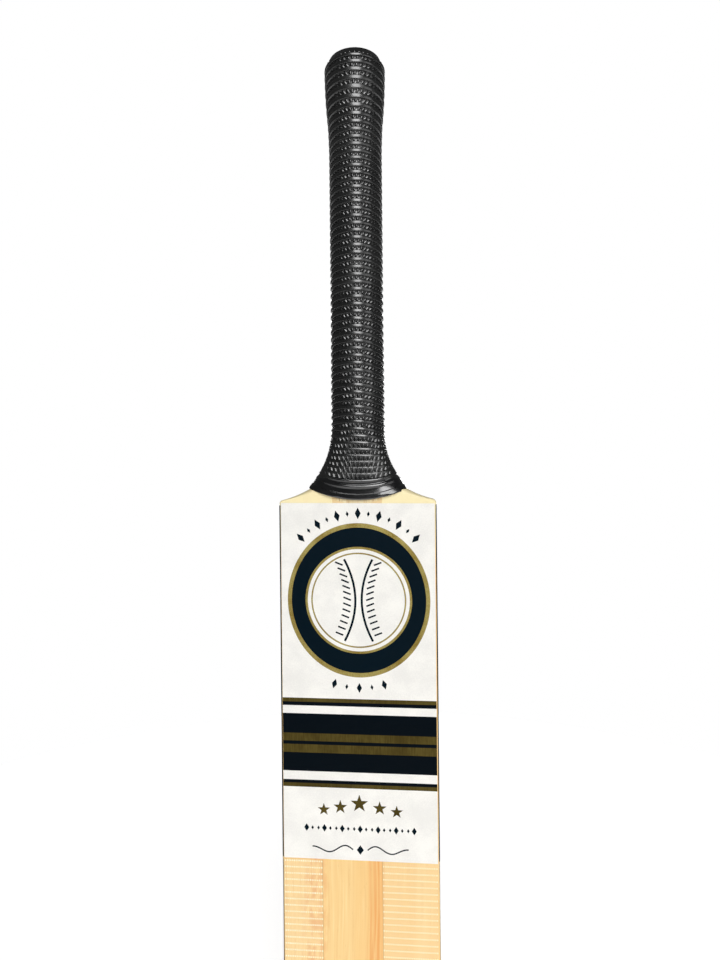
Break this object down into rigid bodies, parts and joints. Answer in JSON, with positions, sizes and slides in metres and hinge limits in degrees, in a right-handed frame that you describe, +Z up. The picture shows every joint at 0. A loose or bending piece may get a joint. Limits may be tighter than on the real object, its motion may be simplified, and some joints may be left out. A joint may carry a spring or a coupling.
{
  "type": "cricket bat",
  "caption": "Full-size short-handle cricket bat: willow blade with a flat face and spined back, spliced cane handle, ribbed rubber grip, face label, fibre tapes and toe guard.",
  "frame": {"origin": "where the handle's axis meets the flat base of the toe guard", "axes": "+Z up along the bat from toe to handle, -Y out of the flat striking face, +X to the right of someone facing that face"},
  "size_m": [0.1092, 0.0583, 0.8585],
  "materials": {
    "willow": "satin",
    "cane": "matte",
    "spring_rubber": "matte",
    "twine": "waxed",
    "grip_rubber": "satin",
    "toe_rubber": "matte",
    "label_print": "satin film with fine linen texture",
    "fibre_tape": "clear tape with woven threads",
    "trim_print": "satin film"
  },
  "bodies": {
    "root": {"blade": "willow", "toe_guard": "toe_rubber", "cane_front_left": "cane", "cane_front_middle": "cane", "cane_front_right": "cane", "cane_mid_front_left": "cane", "cane_mid_front_middle": "cane", "cane_mid_front_right": "cane", "cane_mid_back_left": "cane", "cane_mid_back_middle": "cane", "cane_mid_back_right": "cane", "cane_back_left": "cane", "cane_back_middle": "cane", "cane_back_right": "cane", "rubber_spring_front": "spring_rubber", "rubber_spring_middle": "spring_rubber", "rubber_spring_back": "spring_rubber", "handle_binding": "twine", "grip_sleeve": "grip_rubber", "face_label": "label_print", "face_tape_left": "fibre_tape", "face_tape_right": "fibre_tape", "edge_label_left": "trim_print", "edge_label_right": "trim_print", "back_label_left": "trim_print", "back_label_right": "trim_print"}
  },
  "joints": []
}
